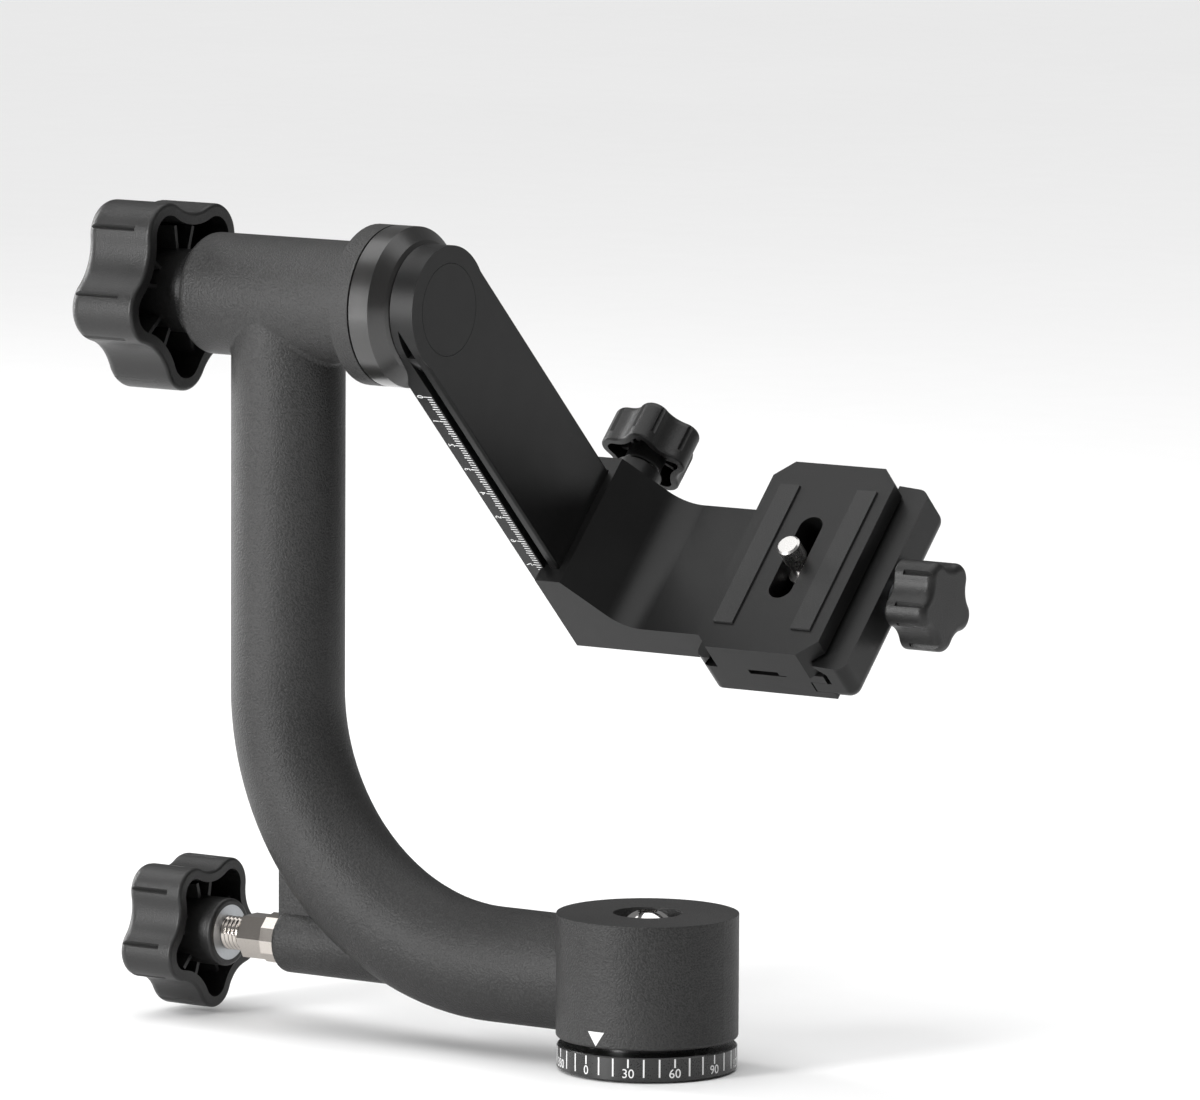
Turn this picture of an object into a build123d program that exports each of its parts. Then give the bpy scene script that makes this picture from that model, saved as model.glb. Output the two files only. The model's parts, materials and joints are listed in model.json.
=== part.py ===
from build123d import *
import os
from collections import namedtuple
from math import cos, radians, sin, sqrt, tan

# Photographic gimbal head: a J-shaped arm pans on a short spindle and carries, on a sideways
# tilt axis, a swing arm with a height-adjustable L-bracket and a dovetail quick-release clamp.
# Millimetres. +Z up, origin on the pan axis at the bottom face, +X from the tilt knob to the hub.

BearingSizes = namedtuple("BearingSizes", "bore outer width")
KnobSizes = namedtuple("KnobSizes", "radius lobe valley depth wall hub hub_proud")

# --- Overall layout ---------------------------------------------------------------------------
reach = 114.0              # pan axis to the axis of the upright tube
tilt_height = 191.5        # tilt axis above the bottom face
lower_tube_height = 22.0   # axis of the lower tube and of the pan lock above the bottom face
tilt_rest = 45.8           # how far the swing arm leans out of the vertical at rest, degrees

# --- Clearances -------------------------------------------------------------------------------
running = 0.04             # radial clearance of a shaft that turns in its bore
sliding = 0.08             # gap beside a sliding face
screw_play = 0.05          # radial gap round a screw that moves in its own thread
gap = 0.1                  # gap between faces that only just do not touch
lock_standoff = 0.35       # gap in front of a brake face while its knob is loosened
hole_end_room = 1.0        # depth of a blind hole past the end of its screw
cut_over = 1.0             # how far a cut runs past the face that it leaves by

# --- Arm casting ------------------------------------------------------------------------------
tube_radius = 15.0
bend_radius = 67.0
top_tube_radius = 16.0
top_tube_overhang = 25.0   # from the upright's axis out to the tilt knob's end
top_tube_round = 2.5
hub_face_x = -80.4         # face of the casting's flange that the tilt disc turns against
flange_radius = 21.0
flange_thickness = 5.6
flange_round = 0.5
boss_radius = 8.6
boss_round = 2.0
web_thickness = 8.0
tee_fillet = 1.4

# --- Pan base ---------------------------------------------------------------------------------
ring_radius = 23.2
ring_height = 6.2
ring_wall = 4.3
ring_chamfer = 0.35
foot_hub_height = 0.9      # step of the spindle's foot above the degree ring
foot_hub_radius = 20.4
housing_radius = 23.5
housing_bottom = 8.0
housing_top = 40.0
housing_top_round = 2.5
housing_bottom_round = 0.8
top_well_radius = 8.95
seat_height = 10.4         # lower bearing's seat above the bottom face
seat_radius = 11.6
drum_relief = 0.1
spindle_chamfer = 0.6
tripod_thread_radius = 3.97   # 3/8-16 thread
tripod_thread_depth = 11.0
tripod_bush_radius = 7.0
top_screw_radius = 4.0     # M8
top_screw_grip = 15.0
top_screw_head_radius = 7.0
top_screw_head_height = 4.4
top_screw_head_rim = 0.6
dome_middle_share = 0.55   # where the dome's arc is held between its centre and its rim
top_screw_socket = 5.0
top_screw_socket_depth = 2.8
pan_washer_radius = 8.6
pan_washer_thickness = 2.4

# --- Ball bearings: bore and outer are radii ----------------------------------------------------
pan_lower_bearing = BearingSizes(bore=10.0, outer=16.0, width=7.0)
pan_upper_bearing = BearingSizes(bore=7.5, outer=12.0, width=5.0)
tilt_bearing = BearingSizes(bore=6.0, outer=12.0, width=6.0)
upper_bearing_height = 29.0
bearing_inset = 1.5        # how deep the tilt bearings sit below the casting's end faces
shield_recess = 0.35
race_share = 0.24          # each race's share of the bearing's radial depth
circlip_thickness = 1.2
circlip_depth = 0.9
circlip_width = 2.3
circlip_opening = 7.0

# --- Pan lock ---------------------------------------------------------------------------------
rod_radius = 4.0           # M8
rod_bore_radius = 4.5
rod_chamfer = 0.8
pad_radius = 4.45
pad_length = 6.0
bush_flange_radius = 6.8
bush_flange_length = 4.4
bush_flange_facets = 12
bush_hex = 11.0            # across flats
bush_hex_length = 7.8
bush_thread_radius = 6.0
bush_thread_length = 14.0
bush_to_knob = 6.6         # visible thread between bush and knob

# --- Lock knobs: lobe, valley and hub are radii, hub_proud is how far the hub stands out --------
lobes = 5
tilt_knob = KnobSizes(radius=26.4, lobe=9.0, valley=20.7, depth=21.0, wall=3.3, hub=11.0, hub_proud=4.4)
tilt_knob_turn = 40.5      # angle of the first lobe from +Z towards +Y, degrees
pan_knob = KnobSizes(radius=20.7, lobe=7.1, valley=16.1, depth=17.5, wall=2.9, hub=9.0, hub_proud=5.0)
pan_knob_turn = 33.3
small_knob = KnobSizes(radius=12.5, lobe=4.3, valley=9.8, depth=12.0, wall=1.9, hub=5.2, hub_proud=2.0)
rib_thickness = 1.1
rib_root_share = 0.5       # where the ribs start inside the hub, as a share of its radius
rib_spread = 13.0          # half angle between the two ribs beside each hollow, degrees
rib_drop = 3.0             # how far the ribs stay below the rim
back_round_share = 1.1     # back edge's round as a share of the wall
rim_round_share = 0.3      # rim's and hub's round as a share of the wall
groove_width = 1.1
groove_angle = 42.0        # grip grooves each side of a lobe's crest, about the lobe's centre
groove_share = 0.76        # share of the knob's depth that a grip groove runs
insert_flange_radius = 7.3
insert_flange_thickness = 1.2
insert_radius = 6.0
insert_length = 12.0
small_insert_radius = 4.4
small_insert_length = 8.0
nut_radius = 8.0
nut_length = 14.0

# --- Tilt hub ---------------------------------------------------------------------------------
disc_gap = 0.6             # visible gap between casting flange and tilt disc
disc_radius = 21.0
disc_rim = 5.9
cone_length = 3.1
cone_radius = 17.6
neck_length = 0.2          # straight end of the disc's taper
neck_radius = 16.2
shaft_thread_radius = 5.0  # M10
shaft_flats = 8.8
shaft_beyond_tube = 24.0   # threaded end of the shaft past the tilt tube
collar_radius = 7.8
friction_ring_inner = 13.5
friction_ring_outer = 19.3
friction_ring_thickness = 1.5
friction_ring_seat = 1.05
through_bore_radius = 9.0
spacer_radius = 7.6
pressure_washer_radius = 12.9
pressure_washer_thickness = 2.0
hub_screw_radius = 3.0     # M6
hub_screw_grip = 11.0      # length of hub screw inside the shaft
hub_screw_head_radius = 5.2
hub_screw_head_height = 2.6
hub_screw_socket = 4.0
hub_screw_socket_depth = 1.5
screw_chamfer_share = 0.12    # chamfer of a screw's head as a share of its height
hub_pin_radius = 1.5
hub_pin_circle = 9.4
hub_pin_length = 6.4
hub_pin_sink = 3.5         # how far the dowels reach into the tilt disc

# --- Swing arm --------------------------------------------------------------------------------
rail_half_width = 16.7
swing_front_x = -62.8
swing_back_x = -69.8       # back face of the arm's round end
rail_back_x = -73.3
rail_end = 113.0           # rail's lower end below the tilt axis
groove_back_x = -67.7
groove_width_x = 2.5
rail_groove_depth = 2.2
groove_slope = 45.0        # lean of the groove's front wall, degrees
lip_round = 0.8
cap_radius = 12.0
cap_thickness = 1.5
cap_line = 0.12
stop_screw_drop = 109.0    # stop screw below the tilt axis
stop_head_radius = 2.2
stop_head_height = 1.2
stop_screw_radius = 1.25
stop_screw_grip = 5.0
stop_socket = 2.0
stop_socket_depth = 0.8
stop_head_play = 0.3       # room over the stop screw's head in the bracket's slot

# --- L-bracket --------------------------------------------------------------------------------
bracket_wall = 4.3         # bracket's side beside the rail
bracket_half_width = rail_half_width + bracket_wall
bracket_back_x = -68.4
bracket_top = 87.0         # bracket's top edge below the tilt axis, at rest
bracket_top_front_x = -60.5
bracket_bottom = 115.0
gusset_foot_x = -48.6      # where the sloping front would meet the top of the foot
gusset_fillet = 11.0
foot_thickness = 10.2
bracket_corner = 1.5
tongue_thickness = 5.0
tongue_half_width = 20.0
tongue_to_slot = 1.4       # tongue's end to the clamp's slot for the moving jaw
tongue_slot_half = 4.6
tongue_slot_x = -8.0
lock_axis_x = -63.2
lock_drop = 99.0           # height lock's axis below the tilt axis
lock_boss_radius = 6.5
lock_boss_proud = 5.0      # how far the boss stands out of the bracket's side
lock_boss_face = bracket_half_width + lock_boss_proud
gib_radius = 2.6
gib_length = 4.5
lock_screw_radius = 3.0    # M6
lock_knob_gap = 1.2

# --- Quick-release clamp ------------------------------------------------------------------------
clamp_floor = 105.6        # clamp's floor below the tilt axis
clamp_half_length = 30.0
clamp_corner_round = 3.0
dovetail_half_width = 19.0
dovetail_step = 0.7        # upright part of the jaw below its 45 degree face
jaw_lip_height = 3.6       # fixed jaw's top above the clamp's floor
fixed_jaw_wall = 1.7       # outside the dovetail
floor_gap = 1.4            # end of the clamp's floor to the moving jaw
jaw_gap = 1.0              # end of the clamp's lip to the moving jaw
slot_depth = 6.6           # slot for the moving jaw's tongue, inwards from the dovetail's edge
slot_top = 3.0             # the slot's top and bottom, below the floor
slot_bottom = 6.9
moving_jaw_wall = 6.2      # outside the dovetail
jaw_top_height = 4.4
jaw_top_fall = 1.2
jaw_bottom_round = 3.6
jaw_corner_round = 3.0
jaw_tongue_gap = 0.5       # room at the end of the moving jaw's tongue
relief_half_width = 5.6
relief_depth = 1.7
clamp_screw_radius = 2.5   # M5
clamp_screw_drop = 5.0     # screw axis below the floor
clamp_screw_end_x = -5.0
clamp_washer_radius = 5.6
clamp_washer_thickness = 1.2
guide_pin_radius = 1.6
guide_pin_offset = 25.5
guide_pin_end_x = -6.0
guide_pin_seat = 3.0       # how far the pins reach into the moving jaw's wall
guide_pin_room = 0.5
mount_screw_radius = 2.0   # M4 countersunk
mount_screw_head_radius = 3.9
mount_screw_head_height = 2.0
mount_screw_length = 7.6
mount_screw_socket = 2.5
mount_socket_depth = 1.6
mount_screw_x = (-15.0, 5.0)
mount_screw_across = 13.0

# --- Quick-release plate ------------------------------------------------------------------------
plate_half_length = 31.0
plate_thickness = 10.0
plate_neck_height = 1.5    # upright part above the dovetail
plate_corner = 4.9
plate_channel_half_width = 4.6
plate_channel_depth = 1.3
pad_strip_width = 6.0
pad_strip_length = 46.0
pad_strip_offset = 12.0
pad_strip_thickness = 1.4
pad_strip_proud = 0.6
camera_screw_radius = 3.175   # 1/4-20 thread
camera_screw_neck = 2.6    # slimmer shank that keeps the screw captive in the plate
camera_screw_reach = 5.5
camera_screw_chamfer = 0.5
camera_screw_head_radius = 4.3
camera_screw_head_height = 3.0
camera_head_recess = 4.6
camera_slot_half = 10.0
camera_shank_play = 0.3
coin_slot_width = 1.2
coin_slot_depth = 1.4
stop_pin_place = 26.0
stop_pin_head_radius = 2.1
stop_pin_head_height = 1.6
stop_pin_radius = 1.25
stop_pin_grip = 4.0

# --- Frames -----------------------------------------------------------------------------------
# The swing arm's own directions: "lens" lies along the camera lens, "rise" up along the arm.
lens = Vector(0, cos(radians(tilt_rest)), sin(radians(tilt_rest)))
rise = Vector(0, -sin(radians(tilt_rest)), cos(radians(tilt_rest)))
tilt_centre = Vector(0, 0, tilt_height)


def swing_point(x, across, up):
    """A point given along X, along the lens and up the arm, measured from the tilt axis."""
    return tilt_centre + Vector(x, 0, 0) + lens * across + rise * up


def facing_x(x, across=0.0, up=0.0):
    """Plane square to X: local x along the lens, local y up the arm, extrudes to +X."""
    return Plane(origin=swing_point(x, across, up), x_dir=lens, z_dir=(1, 0, 0))


def side_view(x=0.0, across=0.0, up=0.0):
    """Plane square to the lens: local x along X, local y up the arm, extrudes against the lens."""
    return Plane(origin=swing_point(x, across, up), x_dir=(1, 0, 0), z_dir=lens * -1)


def facing_up(x, across, up):
    """Plane square to the arm: local x along X, local y along the lens, extrudes up the arm."""
    return Plane(origin=swing_point(x, across, up), x_dir=(1, 0, 0), z_dir=rise)


def square_to_x(x, height):
    """Plane square to X at a given height: local x is +Y, local y is +Z, extrudes to +X."""
    return Plane(origin=(x, 0, height), x_dir=(0, 1, 0), z_dir=(1, 0, 0))


def turned(plane, angle):
    """The same plane with its local axes turned about its normal."""
    turned_x = plane.x_dir * cos(radians(angle)) + plane.y_dir * sin(radians(angle))
    return Plane(origin=plane.origin, x_dir=turned_x, z_dir=plane.z_dir)


# --- Repeated shapes ----------------------------------------------------------------------------
def ball_bearing(plane, sizes):
    """A shielded ball bearing that stands on the plane."""
    race = (sizes.outer - sizes.bore) * race_share
    with BuildPart() as bearing:
        with BuildSketch(plane):
            Circle(sizes.outer)
            Circle(sizes.bore, mode=Mode.SUBTRACT)
        extrude(amount=sizes.width)
        for side in (plane, plane.offset(sizes.width - shield_recess)):
            with BuildSketch(side):
                Circle(sizes.outer - race)
                Circle(sizes.bore + race, mode=Mode.SUBTRACT)
            extrude(amount=shield_recess, mode=Mode.SUBTRACT)
    return bearing.part


def ring(plane, inner, outer, thickness):
    """A plain washer, bush or ring that stands on the plane."""
    with BuildPart() as washer:
        with BuildSketch(plane):
            Circle(outer)
            Circle(inner, mode=Mode.SUBTRACT)
        extrude(amount=thickness)
    return washer.part


def socket_screw(plane, radius, length, head_radius, head_height, socket, socket_depth):
    """A cap screw: head stands on the plane along its normal, shank runs down from it."""
    with BuildPart() as screw:
        with BuildSketch(plane):
            Circle(head_radius)
        extrude(amount=head_height)
        chamfer(screw.edges().filter_by(GeomType.CIRCLE), length=head_height * screw_chamfer_share)
        with BuildSketch(plane):
            Circle(radius)
        extrude(amount=-length)
        with BuildSketch(plane.offset(head_height)):
            RegularPolygon(socket / 2, 6, major_radius=False)
        extrude(amount=-socket_depth, mode=Mode.SUBTRACT)
    return screw.part


def lobed_outline(radius, lobe, valley):
    """Closed line of a lobed knob: round lobes joined by hollow arcs, all tangent."""
    lobe_centre = radius - lobe
    half = radians(180 / lobes)
    # The hollow's centre follows from the tangency of its arc with both neighbouring lobes.
    spread = valley - lobe
    hollow_centre = (lobe_centre ** 2 - spread ** 2) / (2 * (lobe_centre * cos(half) - spread))
    across = Vector(hollow_centre * cos(half) - lobe_centre, hollow_centre * sin(half))
    touch = Vector(lobe_centre, 0) + across * (lobe / across.length)
    with BuildLine() as outline:
        for number in range(lobes):
            turn = 360 / lobes * number
            following = turn + 360 / lobes
            start = Vector(touch.X, -touch.Y).rotate(Axis.Z, turn)
            crest = Vector(radius, 0).rotate(Axis.Z, turn)
            end = touch.rotate(Axis.Z, turn)
            hollow = Vector(valley * cos(half), valley * sin(half)).rotate(Axis.Z, turn)
            after = Vector(touch.X, -touch.Y).rotate(Axis.Z, following)
            ThreePointArc(start, crest, end)
            ThreePointArc(end, hollow, after)
    return outline.line


def lobed_knob(back, sizes, turn, bore, seats):
    """A hollow lobed knob, open towards the normal of the plane that its closed back lies on.

    Grip grooves run beside each lobe, pairs of ribs tie the hub to the wall. The bore is blind,
    and each (radius, depth) seat sinks room for an insert into the hub's end. The knob is made
    upright with a lobe on local X, then turned and set on its plane.
    """
    radius, lobe, valley, depth, wall, hub, hub_proud = sizes
    outline = lobed_outline(radius, lobe, valley)
    inside = Plane.XY.offset(wall)
    hub_end = Plane.XY.offset(depth + hub_proud)
    rib_start = hub * rib_root_share
    rib_length = valley - wall - rib_start
    rib_middle = rib_start + rib_length / 2
    with BuildPart() as knob:
        with BuildSketch(Plane.XY):
            add(outline)
            make_face()
        extrude(amount=depth)
        fillet(knob.faces().sort_by(Axis.Z)[-1].edges(), radius=wall * rim_round_share)
        fillet(knob.faces().sort_by(Axis.Z)[0].edges(), radius=wall * back_round_share)
        with BuildSketch(inside):
            add(outline)
            make_face()
            offset(amount=-wall, mode=Mode.REPLACE)
        extrude(amount=depth, mode=Mode.SUBTRACT)
        with BuildSketch(inside):
            for side in (-rib_spread, rib_spread):
                with PolarLocations(rib_middle, lobes, start_angle=180 / lobes + side):
                    Rectangle(rib_length, rib_thickness)
        extrude(amount=depth - wall - rib_drop)
        with BuildSketch(inside):
            Circle(hub)
        extrude(amount=depth - wall + hub_proud)
        fillet(knob.edges().group_by(Axis.Z)[-1], radius=wall * rim_round_share)
        with BuildSketch(inside):
            Circle(bore)
        extrude(amount=depth + hub_proud, mode=Mode.SUBTRACT)
        for seat_radius_here, seat_depth in seats:
            with BuildSketch(hub_end):
                Circle(seat_radius_here)
            extrude(amount=-seat_depth, mode=Mode.SUBTRACT)
        with BuildSketch(Plane.XY):
            with PolarLocations(radius - lobe, lobes):
                for side in (-groove_angle, groove_angle):
                    flank = Vector(lobe, 0).rotate(Axis.Z, side)
                    with Locations((flank.X, flank.Y)):
                        Rectangle(groove_width, groove_width, rotation=45 + side)
        extrude(amount=depth * groove_share, mode=Mode.SUBTRACT)
    return turned(back, turn).location * knob.part


def keep(part, name):
    """Label a finished piece and write it as its own STEP file."""
    part.label = name
    export_step(part, f"parts/{name}.step")


os.makedirs("parts", exist_ok=True)

# === Pan base: the fixed root ====================================================================
base = Plane.XY
lower_bearing_top = seat_height + pan_lower_bearing.width
upper_bearing_top = upper_bearing_height + pan_upper_bearing.width
lower_journal = pan_lower_bearing.bore - running
upper_journal = pan_upper_bearing.bore - running
drum_radius = lower_journal - drum_relief
spindle_top = upper_bearing_top - gap
washer_base = upper_bearing_top + gap
screw_head_base = washer_base + pan_washer_thickness
screw_hole_depth = top_screw_grip + hole_end_room

with BuildPart() as base_spindle:
    with BuildSketch(base):
        Circle(ring_radius - ring_wall)
    extrude(amount=ring_height)
    steps = [
        (foot_hub_radius - ring_wall, ring_height + foot_hub_height),
        (seat_radius, seat_height - gap),
        (lower_journal, lower_bearing_top),
        (drum_radius, upper_bearing_height - gap),
        (upper_journal, spindle_top),
    ]
    for step_radius, step_height in steps:
        with BuildSketch(base):
            Circle(step_radius)
        extrude(amount=step_height)
    chamfer(base_spindle.edges().sort_by(Axis.Z)[-1], length=spindle_chamfer)
    with BuildSketch(base):
        Circle(tripod_bush_radius)
    extrude(amount=tripod_thread_depth, mode=Mode.SUBTRACT)
    with BuildSketch(base.offset(spindle_top)):
        Circle(top_screw_radius)
    extrude(amount=-screw_hole_depth, mode=Mode.SUBTRACT)
keep(base_spindle.part, "base_spindle")

with BuildPart() as degree_ring:
    with BuildSketch(base):
        Circle(ring_radius)
        Circle(ring_radius - ring_wall, mode=Mode.SUBTRACT)
    extrude(amount=ring_height)
    outer_rims = degree_ring.edges().filter_by(GeomType.CIRCLE).group_by(SortBy.RADIUS)[-1]
    chamfer(outer_rims, length=ring_chamfer)
keep(degree_ring.part, "degree_ring")

keep(ring(base, tripod_thread_radius, tripod_bush_radius, tripod_thread_depth), "tripod_bush")
pan_washer = ring(base.offset(washer_base), top_screw_radius, pan_washer_radius, pan_washer_thickness)
keep(pan_washer, "pan_washer")

with BuildPart() as pan_top_screw:
    # The domed head is a spherical cap on a low rim.
    dome_height = top_screw_head_height - top_screw_head_rim
    dome_radius = (top_screw_head_radius ** 2 + dome_height ** 2) / (2 * dome_height)
    head_top = screw_head_base + top_screw_head_height
    middle = top_screw_head_radius * dome_middle_share
    middle_height = head_top - dome_radius + sqrt(dome_radius ** 2 - middle ** 2)
    with BuildSketch(Plane.XZ):
        with BuildLine():
            Polyline(
                (0, head_top),
                (0, screw_head_base),
                (top_screw_head_radius, screw_head_base),
                (top_screw_head_radius, screw_head_base + top_screw_head_rim),
            )
            ThreePointArc(
                (top_screw_head_radius, screw_head_base + top_screw_head_rim),
                (middle, middle_height),
                (0, head_top),
            )
        make_face()
    revolve(axis=Axis.Z)
    with BuildSketch(base.offset(screw_head_base)):
        Circle(top_screw_radius)
    extrude(amount=-top_screw_grip)
    with BuildSketch(base.offset(head_top)):
        RegularPolygon(top_screw_socket / 2, 6, major_radius=False)
    extrude(amount=-top_screw_socket_depth, mode=Mode.SUBTRACT)
keep(pan_top_screw.part, "pan_top_screw")

# === Arm casting and the bearings it carries ======================================================
upright_x = -reach
bend_centre_x = upright_x + bend_radius
bend_centre_z = lower_tube_height + bend_radius
top_tube_end_x = upright_x - top_tube_overhang
flange_back_x = hub_face_x - flange_thickness
web_top = bend_centre_z - sqrt((bend_radius + tube_radius) ** 2 - bend_radius ** 2)
bearing_pocket = bearing_inset + tilt_bearing.width
bore_radius_low = pan_lower_bearing.outer
bore_radius_high = pan_upper_bearing.outer
circlip_base = seat_height - gap - circlip_thickness

with BuildPart() as arm_casting:
    # One bent tube: upright, quarter bend and lower leg.
    with BuildLine() as spine:
        upright = Line((upright_x, 0, tilt_height), (upright_x, 0, bend_centre_z))
        bend = ThreePointArc(
            upright @ 1,
            (
                bend_centre_x - bend_radius * cos(radians(45)),
                0,
                bend_centre_z - bend_radius * sin(radians(45)),
            ),
            (bend_centre_x, 0, lower_tube_height),
        )
        Line(bend @ 1, (0, 0, lower_tube_height))
    with BuildSketch(Plane(origin=(upright_x, 0, tilt_height), z_dir=(0, 0, -1))):
        Circle(tube_radius)
    sweep(path=spine.wires()[0])
    # Tilt tube across the top, rounded at the knob's end.
    with BuildSketch(square_to_x(top_tube_end_x, tilt_height)):
        Circle(top_tube_radius)
    extrude(amount=flange_back_x - top_tube_end_x)
    simple = (GeomType.LINE, GeomType.CIRCLE)
    tee = arm_casting.edges().filter_by(lambda edge: edge.geom_type not in simple)
    tee_top = tee.filter_by(lambda edge: edge.center().Z > bend_centre_z)
    fillet(tee_top, radius=tee_fillet)
    fillet(arm_casting.edges().sort_by(Axis.X)[0], radius=top_tube_round)
    # Flange that faces the tilt disc.
    with BuildSketch(square_to_x(flange_back_x, tilt_height)):
        Circle(flange_radius)
    extrude(amount=flange_thickness)
    fillet(arm_casting.edges().group_by(Axis.X)[-1], radius=flange_round)
    # Pan-lock boss, coaxial with the lower leg, with a web up to the bend.
    with BuildSketch(Plane.XZ):
        with BuildLine():
            Polyline(
                (bend_centre_x, lower_tube_height),
                (upright_x, lower_tube_height),
                (upright_x, lower_tube_height + boss_radius - boss_round),
            )
            RadiusArc(
                (upright_x, lower_tube_height + boss_radius - boss_round),
                (upright_x + boss_round, lower_tube_height + boss_radius),
                boss_round,
            )
            Polyline(
                (upright_x + boss_round, lower_tube_height + boss_radius),
                (bend_centre_x, lower_tube_height + boss_radius),
                (bend_centre_x, lower_tube_height),
            )
        make_face()
    revolve(axis=Axis((0, 0, lower_tube_height), (1, 0, 0)))
    with BuildSketch(Plane.XZ):
        with BuildLine():
            Polyline(
                (upright_x, lower_tube_height),
                (upright_x, web_top),
                (upright_x + tube_radius, web_top + tube_radius),
                (bend_centre_x, lower_tube_height),
                close=True,
            )
        make_face()
    extrude(amount=web_thickness / 2, both=True)
    # Pan housing.
    with BuildSketch(Plane.XZ):
        with BuildLine():
            Polyline(
                (0, housing_bottom),
                (housing_radius, housing_bottom),
                (housing_radius, housing_top),
                (0, housing_top),
                close=True,
            )
        make_face()
        outer_corners = vertices().group_by(Axis.X)[-1].sort_by(Axis.Y)
        fillet(outer_corners[0], radius=housing_bottom_round)
        fillet(outer_corners[-1], radius=housing_top_round)
    revolve(axis=Axis.Z)
    # Dark gap over the degree ring, bearing bores, top well and circlip groove.
    bores = [
        (housing_radius, 0, housing_bottom),
        (bore_radius_low, housing_bottom, lower_bearing_top),
        (bore_radius_high, lower_bearing_top, upper_bearing_top),
        (top_well_radius, upper_bearing_top, housing_top),
        (bore_radius_low + circlip_depth, circlip_base, circlip_base + circlip_thickness),
    ]
    for bore_radius, low, high in bores:
        with BuildSketch(base.offset(low)):
            Circle(bore_radius)
        extrude(amount=high - low, mode=Mode.SUBTRACT)
    # Pan-lock bore through boss, bend and housing wall.
    with BuildSketch(square_to_x(upright_x, lower_tube_height)):
        Circle(rod_bore_radius)
    extrude(amount=reach - bore_radius_high / 2, mode=Mode.SUBTRACT)
    with BuildSketch(square_to_x(upright_x, lower_tube_height)):
        Circle(bush_thread_radius)
    extrude(amount=bush_thread_length, mode=Mode.SUBTRACT)
    # Tilt bore with a bearing pocket at each end.
    with BuildSketch(square_to_x(top_tube_end_x, tilt_height)):
        Circle(through_bore_radius)
    extrude(amount=hub_face_x - top_tube_end_x, mode=Mode.SUBTRACT)
    for pocket_x, direction in ((top_tube_end_x, 1), (hub_face_x, -1)):
        with BuildSketch(square_to_x(pocket_x, tilt_height)):
            Circle(tilt_bearing.outer)
        extrude(amount=bearing_pocket * direction, mode=Mode.SUBTRACT)
keep(arm_casting.part, "arm_casting")

keep(ball_bearing(base.offset(seat_height), pan_lower_bearing), "pan_lower_bearing")
keep(ball_bearing(base.offset(upper_bearing_height), pan_upper_bearing), "pan_upper_bearing")
outer_bearing_x = top_tube_end_x + bearing_inset
inner_bearing_x = hub_face_x - bearing_inset - tilt_bearing.width
keep(ball_bearing(square_to_x(outer_bearing_x, tilt_height), tilt_bearing), "tilt_bearing_knob_side")
keep(ball_bearing(square_to_x(inner_bearing_x, tilt_height), tilt_bearing), "tilt_bearing_hub_side")

with BuildPart() as pan_circlip:
    with BuildSketch(base.offset(circlip_base)):
        Circle(bore_radius_low + circlip_depth)
        Circle(bore_radius_low + circlip_depth - circlip_width, mode=Mode.SUBTRACT)
        with Locations((0, bore_radius_low)):
            Rectangle(circlip_opening, bore_radius_low, mode=Mode.SUBTRACT)
    extrude(amount=circlip_thickness)
keep(pan_circlip.part, "pan_circlip")

bush_end_x = upright_x - bush_flange_length - bush_hex_length
with BuildPart() as pan_lock_bush:
    with BuildSketch(square_to_x(upright_x, lower_tube_height)):
        Circle(bush_thread_radius)
    extrude(amount=bush_thread_length)
    with BuildSketch(square_to_x(upright_x, lower_tube_height)):
        RegularPolygon(bush_flange_radius, bush_flange_facets, major_radius=True)
    extrude(amount=-bush_flange_length)
    with BuildSketch(square_to_x(upright_x - bush_flange_length, lower_tube_height)):
        RegularPolygon(bush_hex / 2, 6, major_radius=False)
    extrude(amount=-bush_hex_length)
    with BuildSketch(square_to_x(bush_end_x, lower_tube_height)):
        Circle(rod_radius + screw_play)
    extrude(amount=bush_flange_length + bush_hex_length + bush_thread_length, mode=Mode.SUBTRACT)
keep(pan_lock_bush.part, "pan_lock_bush")

# === Pan lock =====================================================================================
pad_face = drum_radius + lock_standoff
pad_back_x = -pad_face - pad_length
with BuildPart() as pan_brake_pad:
    with BuildSketch(square_to_x(pad_back_x, lower_tube_height)):
        Circle(pad_radius)
    extrude(amount=pad_length + pad_radius)
    # Its nose is hollowed to the brake drum.
    with BuildSketch(base.offset(lower_tube_height - pad_radius)):
        Circle(pad_face)
    extrude(amount=pad_radius * 2, mode=Mode.SUBTRACT)
keep(pan_brake_pad.part, "pan_brake_pad")

pan_hub_end_x = bush_end_x - bush_to_knob
pan_knob_back_x = pan_hub_end_x - pan_knob.hub_proud - pan_knob.depth
pan_rod_end_x = pan_knob_back_x + pan_knob.wall
with BuildPart() as pan_lock_rod:
    with BuildSketch(square_to_x(pan_rod_end_x, lower_tube_height)):
        Circle(rod_radius)
    extrude(amount=pad_back_x - gap - pan_rod_end_x)
    chamfer(pan_lock_rod.edges().sort_by(Axis.X)[-1], length=rod_chamfer)
keep(pan_lock_rod.part, "pan_lock_rod")

pan_knob_plane = turned(square_to_x(pan_knob_back_x, lower_tube_height), 90)
pan_seats = [(insert_flange_radius, insert_flange_thickness), (insert_radius, insert_length)]
keep(lobed_knob(pan_knob_plane, pan_knob, -pan_knob_turn, rod_radius, pan_seats), "pan_lock_knob")

with BuildPart() as pan_knob_insert:
    with BuildSketch(square_to_x(pan_hub_end_x, lower_tube_height)):
        Circle(insert_flange_radius)
    extrude(amount=-insert_flange_thickness)
    with BuildSketch(square_to_x(pan_hub_end_x, lower_tube_height)):
        Circle(insert_radius)
    extrude(amount=-insert_length)
    with BuildSketch(square_to_x(pan_hub_end_x, lower_tube_height)):
        Circle(rod_radius)
    extrude(amount=-insert_length, mode=Mode.SUBTRACT)
keep(pan_knob_insert.part, "pan_knob_insert")

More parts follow.
